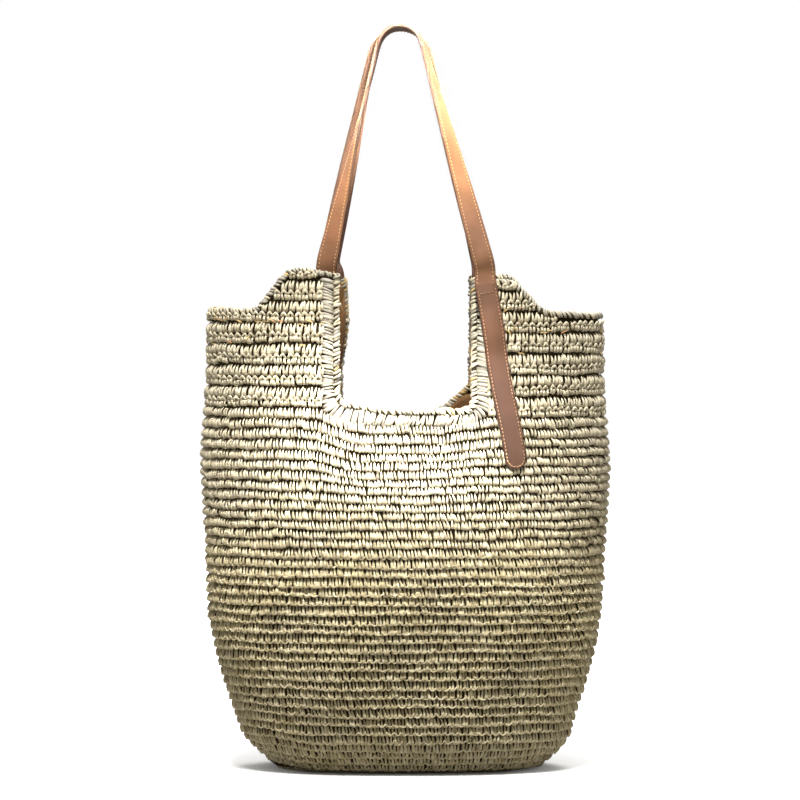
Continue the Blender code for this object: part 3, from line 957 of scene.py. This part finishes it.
class Strap:
    """One shoulder strap: a strip from under its tab, over the arch, to its end inside."""

    def __init__(self, name, side, bend):
        self.name = name
        self.side = side
        self.outside_x = -side * FOOT_X
        outside = Vector((self.outside_x, side * HINGE_REACH[0], HINGE_Z))
        inside = Vector((-self.outside_x, side * HINGE_REACH[1], HINGE_Z))
        self.reach = (outside - inside).length
        self.hinge = (outside + inside) / 2
        self.across = (outside - inside).normalized()
        apex = Vector((APEX[0], side * APEX[1], APEX[2]))
        rise = apex - self.hinge
        rise -= self.across * rise.dot(self.across)
        self.height = rise.length
        self.rise = rise.normalized()
        self.inward = self.across.cross(self.rise)
        if self.inward.y * side > 0:
            self.inward = -self.inward
        self.apex_u = (apex - self.hinge).dot(self.across)
        self.bend = bend

    def arch(self):
        """Stations (centre, width, face) of the arch, outside foot first."""
        centre = Vector((self.apex_u, self.height - self.bend))
        legs = []
        for sign in (1, -1):
            foot = Vector((sign * self.reach / 2, 0.0))
            to_foot = foot - centre
            bearing = atan2(sign * to_foot.x, to_foot.y)
            touch = bearing - acos(self.bend / to_foot.length)
            meet = centre + self.bend * Vector((sign * sin(touch), cos(touch)))
            straight = (meet - foot).length
            total = straight + self.bend * touch
            early = TWIST[0] if sign > 0 else TWIST[1]
            leg = []
            for k in range(ARCH_STEPS + 1):
                s = ARM_START + (total - ARM_START) * k / ARCH_STEPS
                angle = touch - max(0.0, s - straight) / self.bend
                outward = Vector((sign * sin(angle), cos(angle)))
                curved = centre + self.bend * outward
                place = foot.lerp(meet, s / straight) if s < straight else curved
                turn = pi / 2 * (1 - (1 - s / total) ** early)
                out = self.across * outward.x + self.rise * outward.y
                at = self.hinge + self.across * place.x + self.rise * place.y
                width = cos(turn) * out + sin(turn) * self.inward
                face = sin(turn) * out - cos(turn) * self.inward
                leg.append((at, width, face))
            legs.append(leg)
        return legs[0] + legs[1][-2::-1]

    def line_x(self, z):
        lean = (TAB_FOOT[0] - FOOT_X) / (TAB_TOP - TAB_FOOT[1])
        return -self.side * (FOOT_X + max(0.0, TAB_TOP - z) * lean)

    def end_out(self, z):
        return REST_OUT + (OVER_EDGING - REST_OUT) * float(ease((z - EDGING_LEVEL) / STEP_UP))

    def flat_station(self, x, z, out, tilt=0.0):
        """Centre, width and face of a strip lying on the panel; its width points off the middle."""
        p = panel(x, z, self.side)
        n = normal(p)
        step = 0.002 if x > 0 else -0.002
        beside = panel(x + step, z + step * tilt, self.side)
        width = beside - p
        width -= n * np.dot(width, n)
        width /= np.linalg.norm(width)
        return Vector(out_from(p, out)), Vector(width), Vector(n)

    def stations(self):
        """Stations of the whole strip, with the bend at each hinge eased."""
        half = PLY + PLY_GAP / 2
        low = [self.flat_station(self.line_x(z), z, self.end_out(z) + half)
               for z in np.linspace(OUTSIDE_END_Z, HINGE_Z - END_TOP, 24)]
        inset = LINING_INSET + LINING + 0.0010 + half
        inner = [self.flat_station(-self.outside_x, z, -inset)
                 for z in np.linspace(HINGE_Z - END_TOP, INSIDE_END_Z, 28)]
        arch = self.arch()

        def join(a, b):
            between = []
            for t in (0.25, 0.5, 0.75):
                between.append(tuple((p.lerp(q, t) if k == 0 else p.lerp(q, t).normalized())
                                     for k, (p, q) in enumerate(zip(a, b))))
            return between

        rows = low + join(low[-1], arch[0]) + arch + join(arch[-1], inner[0]) + inner
        centres, widths, faces = (np.array([r[k] for r in rows]) for k in range(3))
        for _ in range(6):
            for v in (centres, widths, faces):
                v[1:-1] = 0.25 * v[:-2] + 0.5 * v[1:-1] + 0.25 * v[2:]
        along = unit(np.gradient(centres, axis=0))
        widths = off_line(widths, along)
        turned = np.cross(along, widths)
        return centres, widths, turned * np.sign(np.sum(turned * faces, 1, keepdims=True))

    def across_hinge(self, piece):
        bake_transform(piece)

    def build(self):
        centres, widths, faces = self.stations()
        half = STRAP_WIDTH / 2
        halves = np.full(len(centres), half)
        name = self.name + "_strap_"
        outer = swept(name + "leather", centres, widths, faces, halves,
                      leather_outline(PLY, PLY_GAP / 2, 0.0003), leather_look)
        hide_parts(name + "outer_ply", name + "outside_end", name + "inside_end")
        self.across_hinge(outer)
        backing = swept(name + "backing", centres, widths, -faces, halves * 0.985,
                        leather_outline(PLY, PLY_GAP / 2, 0.0001), backing_look)
        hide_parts(name + "backing_ply")
        self.across_hinge(backing)
        seam = 0.72 * half
        for label, height, look in (("outer", PLY + 0.0003, thread_look),
                                    ("inner", -PLY - 0.0001, inner_thread_look)):
            thread = stitches_along(name + "thread_" + label, (centres, widths, faces),
                                    (-seam, seam), height, look)
            self.across_hinge(thread)
        self.tab()

    def tab(self):
        thick = 2 * PLY + PLY_GAP
        step_top = OUTSIDE_END_Z - 0.002
        round_r = TAB_WIDTH / 2
        low = TAB_FOOT[1]
        tilt = -self.side * (TAB_FOOT[0] - FOOT_X) / (TAB_TOP - low)
        rows, halves = [], []
        levels = [low + round_r * (1 - cos(a)) for a in np.linspace(radians(9), pi / 2, 14)]
        levels += list(np.linspace(low + round_r, TAB_TOP, 60)[1:])
        for z in levels:
            over = float(ease((z - step_top + TAB_STEP) / TAB_STEP))
            out = REST_OUT + over * (self.end_out(z) + thick + 0.0008 - REST_OUT)
            rows.append(self.flat_station(self.line_x(z), z, out + 0.0018, tilt))
            below = max(0.0, low + round_r - z)
            halves.append(sqrt(max(round_r * round_r - below * below, 0.0)))
        centres, widths, faces = (np.array([r[k] for r in rows]) for k in range(3))
        halves = np.array(halves)
        patch = swept(self.name + "_tab_leather", centres, widths, faces, halves,
                      leather_outline(TAB_THICK - 0.0002, 0.0, 0.0005), tab_look)
        on_bag(patch, "leather", self.name + "_outside_tab")
        # Its seam: along both edges, round its foot and across its top
        body = halves > round_r * 0.999
        seam = round_r * GROOVE
        top = TAB_THICK + 0.0001
        turn = []
        centre, width, face = centres[body][0], widths[body][0], faces[body][0]
        down = np.cross(width, face)
        if down[2] > 0:
            down = -down
        for k in range(9):
            a = -pi / 2 + pi * (k + 0.1) / 9 + np.linspace(0, 0.78, 5) * pi / 9
            line = centre + np.outer(np.sin(a) * seam, width) + np.outer(np.cos(a) * seam, down)
            turn.append(line + np.outer(top + THREAD_DIP, face))
        across = []
        centre, width, face = centres[-4], widths[-4], faces[-4]
        for k in range(4):
            s = (-0.70 + 0.36 * k + np.linspace(0, 0.26, 5)) * round_r
            across.append(centre + np.outer(s, width) + np.outer(top + 0.0003 + THREAD_DIP, face))
        thread = stitches_along(self.name + "_tab_thread", [v[body] for v in (centres, widths, faces)],
                                (-seam, seam), top, tab_thread_look,
                                extra=(np.array(turn), np.array(across)))
        on_bag(thread, "leather")


# ---------------------------------------------------------------- materials

class Look:
    """A material's node tree, with short helpers."""

    def __init__(self, name):
        self.material = bpy.data.materials.new(name)
        self.material.use_nodes = True
        self.tree = self.material.node_tree
        self.shader = self.tree.nodes["Principled BSDF"]

    def node(self, kind, **settings):
        made = self.tree.nodes.new(kind)
        for key, value in settings.items():
            setattr(made, key, value)
        return made

    def link(self, source, target):
        self.tree.links.new(source, target)

    def attribute(self, name):
        return self.node("ShaderNodeAttribute", attribute_name=name)

    def fill(self, sockets, *values):
        """Gives each socket its number, its colour or its link."""
        for socket, value in zip(sockets, values):
            if isinstance(value, (int, float)):
                socket.default_value = value
            elif isinstance(value, tuple):
                socket.default_value = (*value, 1.0)
            else:
                self.link(value, socket)

    def feed(self, source, name):
        self.link(source, self.shader.inputs[name])

    def math(self, operation, *values, clamp=False):
        made = self.node("ShaderNodeMath", operation=operation, use_clamp=clamp)
        self.fill(made.inputs, *values)
        return made.outputs[0]

    def split(self, vector):
        made = self.node("ShaderNodeSeparateXYZ")
        self.link(vector, made.inputs[0])
        return made.outputs

    def remap(self, value, start=0.0, end=1.0, low=0.0, high=1.0):
        """Values between start and end as ones between low and high, and no further."""
        made = self.node("ShaderNodeMapRange", clamp=True)
        self.fill(made.inputs, value, start, end, low, high)
        return made.outputs[0]

    def scaled(self, vector, scale):
        made = self.node("ShaderNodeVectorMath", operation="MULTIPLY")
        self.link(vector, made.inputs[0])
        made.inputs[1].default_value = scale
        return made.outputs[0]

    def noise(self, vector, scale, detail=2.0, rough=0.5):
        made = self.node("ShaderNodeTexNoise")
        made.inputs["Scale"].default_value = scale
        made.inputs["Detail"].default_value = detail
        made.inputs["Roughness"].default_value = rough
        self.link(vector, made.inputs["Vector"])
        return made.outputs["Fac"]

    def ramp(self, factor, stops):
        made = self.node("ShaderNodeValToRGB")
        elements = made.color_ramp.elements
        while len(elements) < len(stops):
            elements.new(0.5)
        for element, (place, colour) in zip(elements, stops):
            element.position = place
            element.color = (*colour, 1.0)
        self.link(factor, made.inputs["Fac"])
        return made.outputs["Color"]

    def mix(self, factor, a, b):
        made = self.node("ShaderNodeMix", data_type="RGBA")
        self.fill((made.inputs[0], made.inputs[6], made.inputs[7]), factor, a, b)
        return made.outputs[2]

    def bump(self, height, strength, distance):
        made = self.node("ShaderNodeBump")
        made.inputs["Strength"].default_value = strength
        made.inputs["Distance"].default_value = distance
        self.link(height, made.inputs["Height"])
        self.feed(made.outputs[0], "Normal")

    def set(self, **values):
        for key, value in values.items():
            self.shader.inputs[key.replace("_", " ")].default_value = value

    def object_place(self):
        return self.node("ShaderNodeTexCoord").outputs["Object"]


def straw_material():
    """Natural straw ribbon: fibres along each strand, its own tone for each strand, and a painted
    highlight that makes its upper part paler and greyer.
    """
    look = Look("straw_ribbon")
    strand = look.attribute("strand").outputs["Vector"]
    tint = look.attribute("tint").outputs["Fac"]
    own = look.node("ShaderNodeTexWhiteNoise", noise_dimensions="1D")
    look.link(look.split(strand)[2], own.inputs["W"])
    fibres = look.noise(look.scaled(strand, (260.0, 3600.0, 83.0)), 1.0, 3.0, 0.6)
    tone = look.math("MULTIPLY", own.outputs["Value"], 0.42)
    tone = look.math("ADD", tone, look.math("MULTIPLY", fibres, 0.58))
    colour = look.ramp(tone, [
        (0.18, (0.29, 0.215, 0.085)),
        (0.42, (0.50, 0.410, 0.210)),
        (0.62, (0.67, 0.575, 0.335)),
        (0.90, (0.85, 0.765, 0.54)),
    ])
    place = look.object_place()
    patches = look.noise(place, 17.0, 3.0, 0.6)
    grey = look.ramp(patches, [(0.36, (0, 0, 0)), (0.66, (1, 1, 1))])
    # Painted highlight: from 0.19 m up the colour is drawn towards a pale grey cream, for the whitened
    # highlights of shiny straw
    high = look.remap(look.split(place)[2], 0.190, 0.270, high=0.35)
    colour = look.mix(look.math("MULTIPLY", grey, 0.25), colour, (0.42, 0.37, 0.28))
    colour = look.mix(high, colour, (0.60, 0.55, 0.46))
    taupe = look.math("MULTIPLY", look.math("LESS_THAN", tint, -0.5), 0.70)
    colour = look.mix(taupe, colour, (0.29, 0.26, 0.21))
    gold = look.math("MULTIPLY", look.math("GREATER_THAN", tint, 0.5), 0.7)
    colour = look.mix(gold, colour, (0.60, 0.37, 0.07))
    orange = look.math("MULTIPLY", look.math("GREATER_THAN", tint, 1.5), 0.7)
    colour = look.mix(orange, colour, (0.50, 0.20, 0.07))
    look.feed(colour, "Base Color")
    look.feed(look.remap(fibres, low=0.42, high=0.68), "Roughness")
    look.bump(fibres, 0.55, 0.0004)
    look.set(Specular_IOR_Level=0.70)
    return look.material


def painted_gap_shade_material():
    """Painted shade: a near-black straw colour for the layers behind the stitches, standing in for the
    shade seen between them.
    """
    look = Look("straw_painted_gap_shade")
    fibres = look.noise(look.object_place(), 900.0, 3.0, 0.65)
    colour = look.ramp(fibres, [(0.3, (0.022, 0.015, 0.006)), (0.7, (0.085, 0.060, 0.026))])
    look.feed(colour, "Base Color")
    look.bump(fibres, 0.8, 0.0010)
    look.set(Roughness=0.8, Specular_IOR_Level=0.2)
    return look.material


def cloth_material():
    """Plain woven golden brown cloth."""
    look = Look("lining_weave")
    place = look.attribute("cloth").outputs["Vector"]
    warp, weft = (look.math("SINE", look.math("MULTIPLY", way, 2 * pi / THREAD_PITCH))
                  for way in look.split(place)[:2])
    weave = look.math("MULTIPLY", warp, weft)
    slub = look.noise(look.scaled(place, (700.0, 60.0, 1.0)), 1.0, 3.0, 0.6)
    worn = look.noise(look.object_place(), 22.0, 4.0, 0.6)
    tone = look.math("ADD", look.math("MULTIPLY", weave, 0.10),
                     look.math("ADD", look.math("MULTIPLY", slub, 0.45),
                               look.math("MULTIPLY", worn, 0.50)))
    colour = look.ramp(tone, [
        (0.22, (0.14, 0.064, 0.017)),
        (0.50, (0.25, 0.125, 0.038)),
        (0.80, (0.36, 0.20, 0.070)),
    ])
    look.feed(colour, "Base Color")
    look.bump(look.math("ADD", weave, slub), 0.5, 0.0002)
    look.set(Roughness=0.82, Specular_IOR_Level=0.25, Sheen_Weight=0.25, Sheen_Roughness=0.5)
    return look.material


def leather_material(name, dark, mid, light, roughness, edge, shade_below=None):
    """Leather with a fine grain and darker cut edges; below a given height painted shade darkens it
    downwards.
    """
    look = Look(name)
    place = look.object_place()
    strip = look.attribute("strip").outputs["Vector"]
    side = look.math("ABSOLUTE", look.split(strip)[1])
    cells = look.node("ShaderNodeTexVoronoi", feature="DISTANCE_TO_EDGE")
    cells.inputs["Scale"].default_value = 1500.0
    look.link(place, cells.inputs["Vector"])
    grain = look.math("MULTIPLY", cells.outputs["Distance"], 2.2, clamp=True)
    clouds = look.noise(place, 38.0, 4.0, 0.62)
    pores = look.noise(place, 2600.0, 2.0, 0.5)
    colour = look.ramp(clouds, [(0.28, dark), (0.50, mid), (0.74, light)])
    colour = look.mix(look.math("MULTIPLY", look.math("SUBTRACT", 1.0, grain), 0.22), colour, dark)
    colour = look.mix(look.remap(side, 0.93, 0.99), colour, edge)
    if shade_below:
        height = look.split(place)[2]
        # Painted shade: darker towards the bottom, from the given height down
        painted_shade = look.remap(height, shade_below, shade_below - 0.12, high=0.85)
        colour = look.mix(painted_shade, colour, edge)
    look.feed(colour, "Base Color")
    look.feed(look.remap(clouds, low=roughness - 0.08, high=roughness + 0.10), "Roughness")
    look.bump(look.math("ADD", grain, look.math("MULTIPLY", pores, 0.5)), 0.35, 0.00012)
    look.set(Specular_IOR_Level=0.45)
    return look.material


def thread_material(name, dark, light_tone):
    """Twisted sewing thread."""
    look = Look(name)
    twist = look.noise(look.object_place(), 3000.0, 2.0, 0.5)
    colour = look.ramp(twist, [(0.35, dark), (0.65, light_tone)])
    look.feed(colour, "Base Color")
    look.bump(twist, 0.5, 0.0001)
    look.set(Roughness=0.6)
    return look.material


# ---------------------------------------------------------------- stage

def light(name, place, target, size, power, spread):
    """A rectangular area light."""
    data = bpy.data.lights.new(name, "AREA")
    data.shape = "RECTANGLE"
    data.size, data.size_y = size
    data.energy = power
    data.spread = radians(spread)
    made = link(bpy.data.objects.new(name, data))
    made.location = place
    made.rotation_euler = (Vector(target) - Vector(place)).to_track_quat("-Z", "Y").to_euler()


def floor():
    """A pale floor that glows white to the camera away from the bag, as in a light tent."""
    corners = np.array([[-6, -6, 0], [6, -6, 0], [6, 6, 0], [-6, 6, 0]], float)
    look = Look("pale_floor")
    place = look.object_place()
    speckle = look.noise(place, 6.0, 2.0, 0.5)
    colour = look.ramp(speckle, [(0.0, (0.90, 0.90, 0.89)), (1.0, (0.93, 0.93, 0.92))])
    seen = look.node("ShaderNodeLightPath").outputs["Is Camera Ray"]
    look.feed(look.mix(seen, FLOOR_BOUNCE, colour), "Base Color")
    distance = look.node("ShaderNodeVectorMath", operation="LENGTH")
    look.link(place, distance.inputs[0])
    glow = look.remap(distance.outputs["Value"], 0.10, 0.40)
    look.feed(look.math("MULTIPLY", glow, seen), "Emission Strength")
    look.set(Roughness=0.7, Specular_IOR_Level=0.1, Emission_Color=(1.0, 1.0, 1.0, 1.0))
    mesh_from("studio_floor", corners, [np.array([[0, 1, 2, 3]])], [look.material])


def surroundings():
    """White all round to the camera, and WORLD_LIGHT as bright to the bag."""
    world = bpy.data.worlds.new("studio")
    world.use_nodes = True
    tree = world.node_tree
    background = tree.nodes["Background"].inputs
    background["Color"].default_value = (1.0, 1.0, 1.0, 1.0)
    strength = tree.nodes.new("ShaderNodeMapRange")
    strength.inputs["To Min"].default_value = WORLD_LIGHT
    seen = tree.nodes.new("ShaderNodeLightPath").outputs["Is Camera Ray"]
    tree.links.new(seen, strength.inputs["Value"])
    tree.links.new(strength.outputs[0], background["Strength"])
    bpy.context.scene.world = world


def camera():
    """The camera looks at the front, a little from above."""
    data = bpy.data.cameras.new("camera")
    data.sensor_width = 36.0
    data.lens = CAMERA_LENS
    made = link(bpy.data.objects.new("camera", data))
    made.location = CAMERA_AT
    made.rotation_euler = (pi / 2 - CAMERA_PITCH, 0.0, 0.0)
    bpy.context.scene.camera = made
    bpy.context.scene.view_settings.view_transform = "Standard"


straw_look = straw_material()
painted_gap_shade_look = painted_gap_shade_material()
lining_look = cloth_material()
# The straps and tabs are one leather: tan_leather is its lighter copy for the lit straps and
# tab_leather its darker copy for the shaded tabs, light and shade painted into their colours
leather_look = leather_material(
    "tan_leather", (0.160, 0.068, 0.027), (0.215, 0.096, 0.041), (0.270, 0.126, 0.058), 0.48,
    (0.06, 0.024, 0.011))
tab_look = leather_material(
    "tab_leather", (0.115, 0.046, 0.018), (0.150, 0.063, 0.026), (0.190, 0.084, 0.037), 0.55,
    (0.055, 0.022, 0.010), shade_below=0.455)
backing_look = leather_material(
    "brown_backing", (0.085, 0.040, 0.022), (0.13, 0.062, 0.034), (0.18, 0.09, 0.05), 0.55,
    (0.06, 0.028, 0.015))
thread_look = thread_material("tan_thread", (0.50, 0.30, 0.14), (0.74, 0.50, 0.27))
tab_thread_look = thread_material("tab_thread", (0.36, 0.20, 0.09), (0.58, 0.35, 0.17))
inner_thread_look = thread_material("brown_thread", (0.16, 0.080, 0.040), (0.26, 0.14, 0.075))

floor()
surroundings()
for settings in LIGHTS:
    light(*settings)
camera()
rounds()
base()
wing("left_wing_rows", "left_wing", pi, ROUNDS_TOP)
wing("right_wing_rows", "right_wing", 2 * pi, ROUNDS_TOP - RIGHT_DROOP)
rim_edging()
lining_panel("lining_front_cloth", "lining_front", pi)
lining_panel("lining_back_cloth", "lining_back", 0.0)
lining_floor()
Strap("front", FRONT, FRONT_BEND).build()
Strap("back", BACK, BACK_BEND).build()
